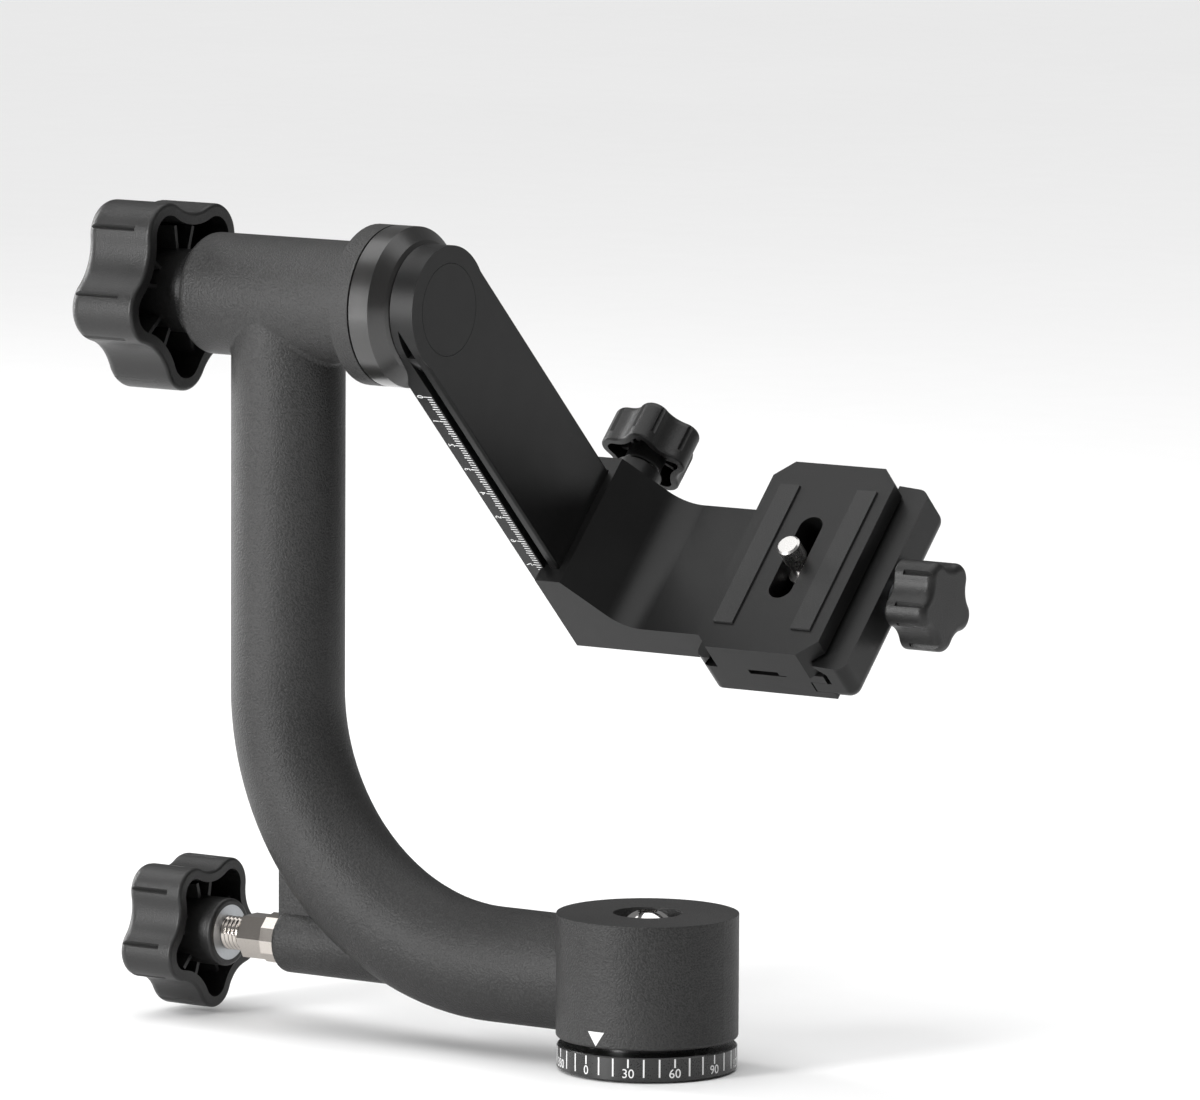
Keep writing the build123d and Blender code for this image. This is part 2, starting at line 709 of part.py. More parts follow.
# === Tilt hub and shaft ===========================================================================
disc_back_x = hub_face_x + disc_gap
disc_front_x = swing_back_x
shaft_front_x = disc_back_x + disc_rim
cap_back_x = swing_front_x - cap_thickness
screw_seat_x = cap_back_x - hub_screw_head_height
pin_start_x = swing_back_x - hub_pin_sink

# Outside of the tilt disc as (x, radius): rim, cone, neck.
disc_outline = [
    (disc_back_x, disc_radius),
    (disc_back_x + disc_rim, disc_radius),
    (disc_back_x + disc_rim + cone_length, cone_radius),
    (disc_front_x - neck_length, neck_radius),
    (disc_front_x, neck_radius),
]


def tilt_turned(points):
    """Face between the tilt axis and the given (x, radius) points, for a revolve about the axis."""
    with BuildSketch(Plane.XZ) as section:
        with BuildLine():
            outside = [(x, tilt_height + radius) for x, radius in points]
            Polyline((points[0][0], tilt_height), *outside, (points[-1][0], tilt_height), close=True)
        make_face()
    return section.sketch


tilt_axis = Axis((0, 0, tilt_height), (1, 0, 0))
disc_section = tilt_turned(disc_outline)

with BuildPart() as tilt_disc:
    revolve(disc_section, axis=tilt_axis)
    with BuildSketch(facing_x(disc_back_x)):
        Circle(friction_ring_outer)
        Circle(friction_ring_inner, mode=Mode.SUBTRACT)
    extrude(amount=friction_ring_seat, mode=Mode.SUBTRACT)
    with BuildSketch(facing_x(disc_back_x)):
        Circle(tilt_bearing.bore)
    extrude(amount=shaft_front_x - disc_back_x, mode=Mode.SUBTRACT)
    with BuildSketch(facing_x(shaft_front_x)):
        Circle(hub_screw_radius)
    extrude(amount=disc_front_x - shaft_front_x, mode=Mode.SUBTRACT)
    with BuildSketch(facing_x(pin_start_x)):
        with PolarLocations(hub_pin_circle, 2):
            Circle(hub_pin_radius)
    extrude(amount=hub_pin_length, mode=Mode.SUBTRACT)
keep(tilt_disc.part, "tilt_disc")

keep(
    ring(
        facing_x(disc_back_x + friction_ring_seat - friction_ring_thickness),
        friction_ring_inner,
        friction_ring_outer,
        friction_ring_thickness,
    ),
    "tilt_friction_ring",
)

journal = tilt_bearing.bore - running
with BuildPart() as tilt_shaft:
    with BuildSketch(facing_x(disc_back_x)):
        Circle(tilt_bearing.bore)
    extrude(amount=shaft_front_x - disc_back_x)
    with BuildSketch(facing_x(disc_back_x)):
        Circle(journal)
    extrude(amount=outer_bearing_x - disc_back_x)
    with BuildSketch(facing_x(disc_back_x)):
        Circle(collar_radius)
    extrude(amount=inner_bearing_x + tilt_bearing.width + gap - disc_back_x)
    with BuildSketch(facing_x(outer_bearing_x)):
        Circle(shaft_thread_radius)
        Rectangle(shaft_thread_radius * 2, shaft_flats, mode=Mode.INTERSECT)
    extrude(amount=top_tube_end_x - shaft_beyond_tube - outer_bearing_x)
    with BuildSketch(facing_x(shaft_front_x)):
        Circle(hub_screw_radius)
    extrude(amount=-hub_screw_grip - hole_end_room, mode=Mode.SUBTRACT)
keep(tilt_shaft.part, "tilt_shaft")

spacer_start_x = outer_bearing_x + tilt_bearing.width + gap
keep(
    ring(facing_x(spacer_start_x), journal, spacer_radius, inner_bearing_x - gap - spacer_start_x),
    "tilt_shaft_spacer",
)

# === Swing arm ====================================================================================
groove_front_x = groove_back_x + groove_width_x


def rail_section(clearance, back_x):
    """Rail's cross-section, grown by a clearance, as (x, across the rail) points."""
    side = rail_half_width + clearance
    floor = rail_half_width - rail_groove_depth + clearance
    slope_shift = clearance * (1 / tan(radians(groove_slope / 2)) - 1)
    half = [
        (back_x, side),
        (groove_back_x + clearance, side),
        (groove_back_x + clearance, floor),
        (groove_front_x - rail_groove_depth - slope_shift + clearance, floor),
        (groove_front_x - slope_shift + clearance, side),
        (swing_front_x + clearance, side),
    ]
    return half + [(x, -across) for x, across in reversed(half)]


with BuildPart() as swing_arm:
    # Rail with a dovetail groove down each edge.
    with BuildSketch(facing_up(0, 0, -rail_end)):
        with BuildLine():
            Polyline(*rail_section(0, rail_back_x), close=True)
        make_face()
        front_corners = vertices().group_by(Axis.X)[-1]
        fillet(front_corners, radius=lip_round)
    extrude(amount=rail_end)
    # Round end over the tilt axis, grooved by the same dovetail.
    with BuildSketch(facing_x(swing_back_x)):
        Circle(rail_half_width)
    extrude(amount=swing_front_x - swing_back_x)
    with BuildSketch(facing_up(0, 0, 0)):
        with BuildLine():
            Polyline(
                (groove_front_x, rail_half_width),
                (groove_back_x, rail_half_width),
                (groove_back_x, rail_half_width - rail_groove_depth),
                (groove_front_x - rail_groove_depth, rail_half_width - rail_groove_depth),
                close=True,
            )
        make_face()
        mirror(about=Plane.XZ)
    extrude(amount=rail_half_width, mode=Mode.SUBTRACT)
    # Seat for the tilt disc, whose cone the rail's back runs into.
    revolve(disc_section, axis=tilt_axis, mode=Mode.SUBTRACT)
    # Cap recess, hub screw seat and dowel holes.
    with BuildSketch(facing_x(swing_front_x)):
        Circle(cap_radius + cap_line)
    extrude(amount=-cap_thickness, mode=Mode.SUBTRACT)
    with BuildSketch(facing_x(cap_back_x)):
        Circle(hub_screw_head_radius + gap)
    extrude(amount=-hub_screw_head_height, mode=Mode.SUBTRACT)
    with BuildSketch(facing_x(swing_back_x)):
        Circle(hub_screw_radius)
    extrude(amount=screw_seat_x - swing_back_x, mode=Mode.SUBTRACT)
    with BuildSketch(facing_x(pin_start_x)):
        with PolarLocations(hub_pin_circle, 2):
            Circle(hub_pin_radius)
    extrude(amount=hub_pin_length, mode=Mode.SUBTRACT)
    # Thread for the rail's stop screw.
    with BuildSketch(facing_x(swing_front_x, 0, -stop_screw_drop)):
        Circle(stop_screw_radius)
    extrude(amount=-stop_screw_grip, mode=Mode.SUBTRACT)
keep(swing_arm.part, "swing_arm")

# --- Hub fasteners, cap and rail stop --------------------------------------------------------------
hub_screw = socket_screw(
    facing_x(screw_seat_x),
    hub_screw_radius,
    screw_seat_x - shaft_front_x + hub_screw_grip,
    hub_screw_head_radius,
    hub_screw_head_height,
    hub_screw_socket,
    hub_screw_socket_depth,
)
keep(hub_screw, "hub_screw")

with BuildPart() as hub_dowels:
    with BuildSketch(facing_x(pin_start_x)):
        with PolarLocations(hub_pin_circle, 2):
            Circle(hub_pin_radius)
    extrude(amount=hub_pin_length)
keep(hub_dowels.part, "hub_dowels")

with BuildPart() as swing_arm_cap:
    with BuildSketch(facing_x(cap_back_x)):
        Circle(cap_radius)
    extrude(amount=cap_thickness)
keep(swing_arm_cap.part, "swing_arm_cap")

rail_stop_screw = socket_screw(
    facing_x(swing_front_x, 0, -stop_screw_drop),
    stop_screw_radius,
    stop_screw_grip,
    stop_head_radius,
    stop_head_height,
    stop_socket,
    stop_socket_depth,
)
keep(rail_stop_screw, "rail_stop_screw")

# === Tilt lock ====================================================================================
washer_x = top_tube_end_x - lock_standoff - pressure_washer_thickness
with BuildPart() as tilt_pressure_washer:
    with BuildSketch(facing_x(washer_x)):
        Circle(pressure_washer_radius)
    extrude(amount=pressure_washer_thickness)
    # Its hole has the shaft's two flats, so the washer slides without turning.
    with BuildSketch(facing_x(washer_x)):
        Circle(shaft_thread_radius + screw_play)
        Rectangle(pressure_washer_radius * 2, shaft_flats + screw_play * 2, mode=Mode.INTERSECT)
    extrude(amount=pressure_washer_thickness, mode=Mode.SUBTRACT)
keep(tilt_pressure_washer.part, "tilt_pressure_washer")

tilt_hub_end_x = washer_x - gap
tilt_knob_back_x = tilt_hub_end_x - tilt_knob.hub_proud - tilt_knob.depth
tilt_knob_plane = turned(square_to_x(tilt_knob_back_x, tilt_height), 90)
tilt_bore = shaft_thread_radius + gap * 2
tilt_seats = [(nut_radius, nut_length)]
keep(lobed_knob(tilt_knob_plane, tilt_knob, -tilt_knob_turn, tilt_bore, tilt_seats), "tilt_lock_knob")
tilt_nut_plane = square_to_x(tilt_hub_end_x, tilt_height)
keep(ring(tilt_nut_plane, shaft_thread_radius + screw_play, nut_radius, -nut_length), "tilt_knob_nut")

# === L-bracket ====================================================================================
clamp_wall_x = -dovetail_half_width - fixed_jaw_wall
clamp_floor_end_x = dovetail_half_width - floor_gap
clamp_lip_end_x = dovetail_half_width - jaw_gap
slot_start_x = dovetail_half_width - slot_depth
jaw_outer_x = dovetail_half_width + moving_jaw_wall
guide_pin_seat_x = dovetail_half_width + guide_pin_seat
tongue_end_x = slot_start_x - tongue_to_slot
foot_top = foot_thickness - bracket_bottom
tongue_depth = tongue_end_x - clamp_wall_x


def bracket_tongue():
    """Outline of the bracket's tongue under the clamp, forked round the clamp screw."""
    with BuildSketch(facing_up(0, 0, -bracket_bottom)) as outline:
        with Locations((clamp_wall_x + tongue_depth / 2, 0)):
            Rectangle(tongue_depth, tongue_half_width * 2)
        with Locations(((tongue_slot_x + tongue_end_x) / 2, 0)):
            Rectangle(tongue_end_x - tongue_slot_x, tongue_slot_half * 2, mode=Mode.SUBTRACT)
    return outline.sketch


tongue_outline = bracket_tongue()

with BuildPart() as clamp_mount_screws:
    # Countersunk heads lie flush with the bracket's underside.
    screw_face = facing_up(0, 0, -bracket_bottom)
    for screw_x in mount_screw_x:
        for screw_across in (-mount_screw_across, mount_screw_across):
            with BuildSketch(screw_face):
                with Locations((screw_x, screw_across)):
                    Circle(mount_screw_head_radius)
            with BuildSketch(screw_face.offset(mount_screw_head_height)):
                with Locations((screw_x, screw_across)):
                    Circle(mount_screw_radius)
            loft()
            with BuildSketch(screw_face.offset(mount_screw_head_height)):
                with Locations((screw_x, screw_across)):
                    Circle(mount_screw_radius)
            extrude(amount=mount_screw_length - mount_screw_head_height)
screw_room = clamp_mount_screws.part
with BuildPart() as socketed_screws:
    add(screw_room)
    with BuildSketch(facing_up(0, 0, -bracket_bottom)):
        for screw_x in mount_screw_x:
            with Locations((screw_x, -mount_screw_across), (screw_x, mount_screw_across)):
                RegularPolygon(mount_screw_socket / 2, 6, major_radius=False)
    extrude(amount=mount_socket_depth, mode=Mode.SUBTRACT)
keep(socketed_screws.part, "clamp_mount_screws")

lock_thread_start = rail_half_width + gib_length
gib_nose = rail_half_width + lock_standoff
stop_slot_half = stop_head_radius + gap * 2
with BuildPart() as l_bracket:
    with BuildSketch(side_view()):
        with BuildLine():
            Polyline(
                (bracket_back_x, -bracket_top),
                (bracket_top_front_x, -bracket_top),
                (gusset_foot_x, foot_top),
                (clamp_wall_x, foot_top),
                (clamp_wall_x, -bracket_bottom),
                (bracket_back_x, -bracket_bottom),
                close=True,
            )
        make_face()
        inner_corner = vertices().sort_by_distance((gusset_foot_x, foot_top))[0]
        heel = vertices().sort_by_distance((bracket_back_x, -bracket_bottom))[0]
        fillet(inner_corner, radius=gusset_fillet)
        fillet(heel, radius=bracket_corner)
    extrude(amount=bracket_half_width, both=True)
    extrude(tongue_outline, amount=tongue_thickness)
    # Boss for the height lock on the far side.
    with BuildSketch(side_view(lock_axis_x, lock_boss_face, -lock_drop)):
        Circle(lock_boss_radius)
    extrude(amount=lock_boss_face - rail_half_width - cut_over)
    # Channel that rides on the rail.
    with BuildSketch(facing_up(0, 0, -bracket_bottom)):
        with BuildLine():
            Polyline(*rail_section(sliding, bracket_back_x - lock_boss_radius), close=True)
        make_face()
    extrude(amount=bracket_bottom - bracket_top + cut_over, mode=Mode.SUBTRACT)
    # Slot that lets the bracket slide up past the rail's stop screw.
    with BuildSketch(facing_x(swing_front_x)):
        with Locations((0, -stop_screw_drop)):
            Circle(stop_slot_half)
        with Locations((0, -(stop_screw_drop + bracket_bottom) / 2)):
            Rectangle(stop_slot_half * 2, bracket_bottom - stop_screw_drop)
    extrude(amount=stop_head_height + stop_head_play, mode=Mode.SUBTRACT)
    # Height lock: gib bore inside, thread outside.
    with BuildSketch(side_view(lock_axis_x, lock_boss_face, -lock_drop)):
        Circle(gib_radius + running)
    extrude(amount=lock_boss_face - rail_half_width + sliding, mode=Mode.SUBTRACT)
    with BuildSketch(side_view(lock_axis_x, lock_boss_face, -lock_drop)):
        Circle(lock_screw_radius + screw_play)
    extrude(amount=lock_boss_face - lock_thread_start, mode=Mode.SUBTRACT)
    add(screw_room, mode=Mode.SUBTRACT)
keep(l_bracket.part, "l_bracket")

# === Height lock ==================================================================================
gib_back = gib_nose + gib_length
with BuildPart() as height_lock_gib:
    with BuildSketch(side_view(lock_axis_x, gib_back, -lock_drop)):
        Circle(gib_radius)
    extrude(amount=gib_length)
keep(height_lock_gib.part, "height_lock_gib")

lock_hub_end = lock_boss_face + lock_knob_gap
lock_knob_back = lock_hub_end + small_knob.hub_proud + small_knob.depth
lock_knob_plane = side_view(lock_axis_x, lock_knob_back, -lock_drop)
lock_screw_start = lock_knob_back - small_knob.wall
with BuildPart() as height_lock_screw:
    with BuildSketch(side_view(lock_axis_x, lock_screw_start, -lock_drop)):
        Circle(lock_screw_radius)
    extrude(amount=lock_screw_start - gib_back - gap)
keep(height_lock_screw.part, "height_lock_screw")
small_seats = [(small_insert_radius, small_insert_length)]
keep(lobed_knob(lock_knob_plane, small_knob, 0, lock_screw_radius, small_seats), "height_lock_knob")
lock_insert_plane = side_view(lock_axis_x, lock_hub_end, -lock_drop)
height_insert = ring(lock_insert_plane, lock_screw_radius, small_insert_radius, -small_insert_length)
keep(height_insert, "height_knob_insert")

# === Quick-release clamp ============================================================================
floor = -clamp_floor
jaw_lip_x = dovetail_half_width - jaw_lip_height + dovetail_step
slot_middle = floor - (slot_top + slot_bottom) / 2
screw_line = floor - clamp_screw_drop
clamp_depth = bracket_bottom - clamp_floor

with BuildPart() as clamp_body:
    with BuildSketch(side_view()):
        with BuildLine():
            Polyline(
                (clamp_wall_x, floor - clamp_depth),
                (clamp_wall_x, floor + jaw_lip_height),
                (-jaw_lip_x, floor + jaw_lip_height),
                (-dovetail_half_width, floor + dovetail_step),
                (-dovetail_half_width, floor),
                (clamp_floor_end_x, floor),
                (clamp_floor_end_x, floor - slot_top),
                (slot_start_x, floor - slot_top),
                (slot_start_x, floor - slot_bottom),
                (clamp_lip_end_x, floor - slot_bottom),
                (clamp_lip_end_x, floor - clamp_depth),
                close=True,
            )
        make_face()
    extrude(amount=clamp_half_length, both=True)
    with BuildSketch(facing_up(0, 0, -bracket_bottom)):
        with Locations(((clamp_wall_x + clamp_lip_end_x) / 2, 0)):
            Rectangle(clamp_lip_end_x - clamp_wall_x, clamp_half_length * 2)
        wall_corners = vertices().group_by(Axis.X)[0]
        fillet(wall_corners, radius=clamp_corner_round)
    extrude(amount=clamp_depth + jaw_lip_height, mode=Mode.INTERSECT)
    with BuildSketch(facing_up(0, 0, floor)):
        Rectangle(relief_half_width * 2, clamp_half_length * 2)
    extrude(amount=-relief_depth, mode=Mode.SUBTRACT)
    extrude(tongue_outline, amount=tongue_thickness, mode=Mode.SUBTRACT)
    with BuildSketch(facing_x(clamp_screw_end_x - hole_end_room, 0, screw_line)):
        Circle(clamp_screw_radius + screw_play)
    extrude(amount=clamp_lip_end_x - clamp_screw_end_x + hole_end_room + cut_over, mode=Mode.SUBTRACT)
    with BuildSketch(facing_x(guide_pin_end_x - guide_pin_room, 0, slot_middle)):
        with Locations((-guide_pin_offset, 0), (guide_pin_offset, 0)):
            Circle(guide_pin_radius + running)
    extrude(amount=slot_start_x - guide_pin_end_x + guide_pin_room * 2, mode=Mode.SUBTRACT)
    add(screw_room, mode=Mode.SUBTRACT)
keep(clamp_body.part, "clamp_body")

with BuildPart() as moving_jaw:
    with BuildSketch(side_view()):
        with BuildLine():
            Polyline(
                (slot_start_x + jaw_tongue_gap, floor - slot_top - sliding),
                (dovetail_half_width, floor - slot_top - sliding),
                (dovetail_half_width, floor + dovetail_step),
                (jaw_lip_x, floor + jaw_lip_height),
                (jaw_lip_x, floor + jaw_top_height),
                (jaw_outer_x, floor + jaw_top_height - jaw_top_fall),
                (jaw_outer_x, floor - clamp_depth),
                (dovetail_half_width, floor - clamp_depth),
                (dovetail_half_width, floor - slot_bottom + sliding),
                (slot_start_x + jaw_tongue_gap, floor - slot_bottom + sliding),
                close=True,
            )
        make_face()
        outer_heel = vertices().sort_by_distance((jaw_outer_x, floor - clamp_depth))[0]
        fillet(outer_heel, radius=jaw_bottom_round)
    extrude(amount=clamp_half_length, both=True)
    jaw_corners = moving_jaw.edges().filter_by(Axis((0, 0, 0), rise)).group_by(Axis.X)[-1]
    fillet(jaw_corners, radius=jaw_corner_round)
    with BuildSketch(facing_x(slot_start_x, 0, screw_line)):
        Circle(clamp_screw_radius + screw_play)
    extrude(amount=jaw_outer_x - slot_start_x + cut_over, mode=Mode.SUBTRACT)
    with BuildSketch(facing_x(slot_start_x, 0, slot_middle)):
        with Locations((-guide_pin_offset, 0), (guide_pin_offset, 0)):
            Circle(guide_pin_radius)
    extrude(amount=guide_pin_seat_x - slot_start_x, mode=Mode.SUBTRACT)
keep(moving_jaw.part, "moving_jaw")

with BuildPart() as jaw_guide_pins:
    with BuildSketch(facing_x(guide_pin_end_x, 0, slot_middle)):
        with Locations((-guide_pin_offset, 0), (guide_pin_offset, 0)):
            Circle(guide_pin_radius)
    extrude(amount=guide_pin_seat_x - guide_pin_end_x)
keep(jaw_guide_pins.part, "jaw_guide_pins")

clamp_washer_plane = facing_x(jaw_outer_x + gap, 0, screw_line)
clamp_washer = ring(clamp_washer_plane, clamp_screw_radius, clamp_washer_radius, clamp_washer_thickness)
keep(clamp_washer, "clamp_washer")
clamp_hub_end_x = jaw_outer_x + gap + clamp_washer_thickness
clamp_knob_back_x = clamp_hub_end_x + small_knob.hub_proud + small_knob.depth
clamp_knob_plane = Plane(
    origin=swing_point(clamp_knob_back_x, 0, screw_line), x_dir=lens, z_dir=(-1, 0, 0)
)
keep(lobed_knob(clamp_knob_plane, small_knob, 0, clamp_screw_radius, small_seats), "clamp_knob")
clamp_insert_plane = facing_x(clamp_hub_end_x, 0, screw_line)
clamp_insert = ring(clamp_insert_plane, clamp_screw_radius, small_insert_radius, small_insert_length)
keep(clamp_insert, "clamp_knob_insert")
with BuildPart() as clamp_screw:
    with BuildSketch(facing_x(clamp_screw_end_x, 0, screw_line)):
        Circle(clamp_screw_radius)
    extrude(amount=clamp_knob_back_x - small_knob.wall - clamp_screw_end_x)
keep(clamp_screw.part, "clamp_screw")

# === Quick-release plate ============================================================================
plate_base = floor + sliding
plate_top = plate_base + plate_thickness
plate_edge = dovetail_half_width - sliding
plate_neck = jaw_lip_x - sliding
plate_neck_base = plate_base + dovetail_step + plate_edge - plate_neck
plate_flange_base = plate_neck_base + plate_neck_height
strip_base = plate_top + pad_strip_proud - pad_strip_thickness
camera_head_top = plate_base + camera_head_recess
head_slot_width = (camera_screw_head_radius + camera_shank_play) * 2
shank_slot_width = (camera_screw_radius + camera_shank_play) * 2

with BuildPart() as quick_release_plate:
    with BuildSketch(side_view()):
        with BuildLine():
            right = [
                (plate_edge, plate_base),
                (plate_edge, plate_base + dovetail_step - sliding),
                (plate_neck, plate_neck_base - sliding),
                (plate_neck, plate_flange_base),
                (plate_edge, plate_flange_base),
                (plate_edge, plate_top),
            ]
            Polyline(*right, *[(-x, up) for x, up in reversed(right)], close=True)
        make_face()
    extrude(amount=plate_half_length, both=True)
    with BuildSketch(facing_up(0, 0, plate_base)):
        Rectangle(plate_edge * 2, plate_half_length * 2)
        chamfer(vertices(), length=plate_corner)
    extrude(amount=plate_thickness, mode=Mode.INTERSECT)
    with BuildSketch(facing_up(0, 0, plate_base)):
        Rectangle(plate_channel_half_width * 2, plate_half_length * 2)
    extrude(amount=plate_channel_depth, mode=Mode.SUBTRACT)
    # Recesses for the rubber strips.
    with BuildSketch(facing_up(0, 0, strip_base)):
        with Locations((-pad_strip_offset, 0), (pad_strip_offset, 0)):
            Rectangle(pad_strip_width, pad_strip_length)
    extrude(amount=plate_top - strip_base, mode=Mode.SUBTRACT)
    # Camera screw's slot, wide below for its head.
    with BuildSketch(facing_up(0, 0, plate_base)):
        SlotCenterToCenter(camera_slot_half * 2, head_slot_width, rotation=90)
    extrude(amount=camera_head_recess, mode=Mode.SUBTRACT)
    with BuildSketch(facing_up(0, 0, plate_base)):
        SlotCenterToCenter(camera_slot_half * 2, shank_slot_width, rotation=90)
    extrude(amount=plate_thickness, mode=Mode.SUBTRACT)
    with BuildSketch(facing_up(0, 0, plate_base)):
        with Locations((0, -stop_pin_place), (0, stop_pin_place)):
            Circle(stop_pin_radius)
    extrude(amount=plate_channel_depth + stop_pin_grip, mode=Mode.SUBTRACT)
keep(quick_release_plate.part, "quick_release_plate")

with BuildPart() as plate_rubber_strips:
    with BuildSketch(facing_up(0, 0, strip_base)):
        with Locations((-pad_strip_offset, 0), (pad_strip_offset, 0)):
            Rectangle(pad_strip_width, pad_strip_length)
    extrude(amount=pad_strip_thickness)
keep(plate_rubber_strips.part, "plate_rubber_strips")

with BuildPart() as plate_stop_screws:
    with BuildSketch(facing_up(0, 0, plate_base + plate_channel_depth)):
        with Locations((0, -stop_pin_place), (0, stop_pin_place)):
            Circle(stop_pin_head_radius)
    extrude(amount=-stop_pin_head_height)
    with BuildSketch(facing_up(0, 0, plate_base + plate_channel_depth)):
        with Locations((0, -stop_pin_place), (0, stop_pin_place)):
            Circle(stop_pin_radius)
    extrude(amount=stop_pin_grip)
keep(plate_stop_screws.part, "plate_stop_screws")

with BuildPart() as camera_screw:
    # The head hangs from the plate's inner ledge; a slot for a coin crosses it.
    with BuildSketch(facing_up(0, 0, camera_head_top)):
        Circle(camera_screw_head_radius)
    extrude(amount=-camera_screw_head_height)
    with BuildSketch(facing_up(0, 0, camera_head_top)):
        Circle(camera_screw_neck)
    extrude(amount=plate_top - camera_head_top)
    with BuildSketch(facing_up(0, 0, plate_top)):
        Circle(camera_screw_radius)
    extrude(amount=camera_screw_reach)
    chamfer(camera_screw.edges().group_by(Axis((0, 0, 0), rise))[-1], length=camera_screw_chamfer)
    with BuildSketch(facing_up(0, 0, camera_head_top - camera_screw_head_height)):
        Rectangle(camera_screw_head_radius * 2, coin_slot_width)
    extrude(amount=coin_slot_depth, mode=Mode.SUBTRACT)
keep(camera_screw.part, "camera_screw")
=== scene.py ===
# %% [markdown]
# # A gimbal tripod head, finished in Blender
#
# The CAD model arrives with every piece in its true place. This lesson gives each piece its real
# finish and adds the fine surface work that a CAD model leaves out: the scale on the rail, the marks
# on the degree ring, the index triangle and the screw thread behind the pan knob.
#
# Everything is in metres. X runs along the tilt axis, Z up the pan axis.

# %% Load the frame
import json
from math import atan2, cos, degrees, pi, radians, sin

import bpy
import numpy as np
from mathutils import Matrix, Vector


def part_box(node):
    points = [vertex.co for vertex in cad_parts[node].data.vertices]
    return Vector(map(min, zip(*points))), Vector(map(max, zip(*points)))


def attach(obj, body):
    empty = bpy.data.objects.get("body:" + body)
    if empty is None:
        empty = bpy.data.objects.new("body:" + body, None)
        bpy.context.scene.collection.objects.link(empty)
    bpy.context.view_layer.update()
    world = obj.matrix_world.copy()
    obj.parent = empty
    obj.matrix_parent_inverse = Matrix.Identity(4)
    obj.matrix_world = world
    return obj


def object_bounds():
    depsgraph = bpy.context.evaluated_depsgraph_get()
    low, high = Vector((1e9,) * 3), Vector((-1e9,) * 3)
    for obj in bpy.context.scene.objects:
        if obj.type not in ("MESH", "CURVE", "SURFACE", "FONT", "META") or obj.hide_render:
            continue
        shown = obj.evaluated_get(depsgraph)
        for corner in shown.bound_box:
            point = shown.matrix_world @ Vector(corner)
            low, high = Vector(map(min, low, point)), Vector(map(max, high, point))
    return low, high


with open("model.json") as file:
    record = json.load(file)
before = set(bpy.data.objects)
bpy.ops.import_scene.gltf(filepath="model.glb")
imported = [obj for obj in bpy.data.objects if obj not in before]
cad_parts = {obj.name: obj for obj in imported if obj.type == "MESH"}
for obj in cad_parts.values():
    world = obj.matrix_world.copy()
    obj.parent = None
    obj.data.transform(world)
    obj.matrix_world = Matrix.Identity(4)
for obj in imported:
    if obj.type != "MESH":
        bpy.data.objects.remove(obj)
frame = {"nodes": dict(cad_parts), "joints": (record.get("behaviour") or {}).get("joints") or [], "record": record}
nodes = frame["nodes"]
cad_low, cad_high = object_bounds()

MM = 0.001

# %% [markdown]
# ## The directions of the swing arm
#
# The swing arm leans at rest, so marks on it need its own directions. The record gives them: the
# height slide's axis runs up the arm, and the tilt joint's place is the centre they start from.
# Across the arm is the direction square to both the arm and X.

# %% Directions of the arm
joint = {j["name"]: j for j in frame["joints"]}
TILT_CENTRE = np.array(joint["tilt_turn"]["pos_m"], float)
RISE = np.array(joint["height_slide"]["axis"], float)
ACROSS = np.cross(RISE, (1.0, 0.0, 0.0))
LEAN = atan2(RISE[1], RISE[2])


def swing_point(x, across, up):
    """A place on the swing arm: tilt centre + x along X + across the arm + up the arm."""
    return TILT_CENTRE + np.array((x, 0, 0)) + ACROSS * across + RISE * up


def arm_range(node):
    """Lowest and highest (x, across, up) of a node, its vertices measured along the arm."""
    mesh = nodes[node].data
    places = np.empty(len(mesh.vertices) * 3)
    mesh.vertices.foreach_get("co", places)
    places = places.reshape(-1, 3) - TILT_CENTRE
    along = np.stack((places[:, 0], places @ ACROSS, places @ RISE), axis=1)
    return along.min(0), along.max(0)


print("lean of the arm:", round(degrees(LEAN), 2), "degrees")

# %% [markdown]
# ## Shader maths as plain sums
#
# A material is a graph of nodes. To keep the graphs readable, a small class wraps one socket, and
# Python's own operators add the Math nodes. The method `node` adds any other node.


# %% Socket class
class Shade:
    """One output socket of a material, with arithmetic that adds Math nodes."""

    def __init__(self, tree, socket):
        self.tree = tree
        self.socket = socket

    def node(self, kind, settings=None, out=0, **values):
        """Adds a node of any type. Settings are set first, then the sockets named in values."""
        made = self.tree.nodes.new(kind)
        for name, value in (settings or {}).items():
            setattr(made, name, value)
        for name, value in values.items():
            key = int(name[1:]) if name[0] == "_" else name.replace("_", " ")
            place = made.inputs[key]
            if isinstance(value, Shade):
                self.tree.links.new(value.socket, place)
            else:
                place.default_value = value
        return Shade(self.tree, made.outputs[out])

    def math(self, operation, first, second):
        """A Math node on sockets or plain numbers."""
        return self.node("ShaderNodeMath", {"operation": operation}, _0=first, _1=second)

    def __add__(self, other):
        return self.math("ADD", self, other)

    def __radd__(self, other):
        return self.math("ADD", other, self)

    def __sub__(self, other):
        return self.math("SUBTRACT", self, other)

    def __rsub__(self, other):
        return self.math("SUBTRACT", other, self)

    def __mul__(self, other):
        return self.math("MULTIPLY", self, other)

    def __rmul__(self, other):
        return self.math("MULTIPLY", other, self)

    def clip(self, low, high):
        """0 below low, 1 above high, straight between."""
        settings = {"clamp": True}
        return self.node(
            "ShaderNodeMapRange", settings, Value=self, From_Min=low, From_Max=high)

    def mix(self, first, second):
        """A colour that goes from first to second as this value goes from 0 to 1."""
        settings = {"data_type": "RGBA"}
        return self.node("ShaderNodeMix", settings, 2, _0=self, _6=first, _7=second)


# %% [markdown]
# ## A base for every finish
#
# Each finish starts from the same steps: a Principled shader, Object coordinates for its patterns,
# and one noise at the size of the finish's grain that roughens both gloss and surface. What is the
# same all over is set on the shader's own sockets. The noises drive only colour, roughness and bump.


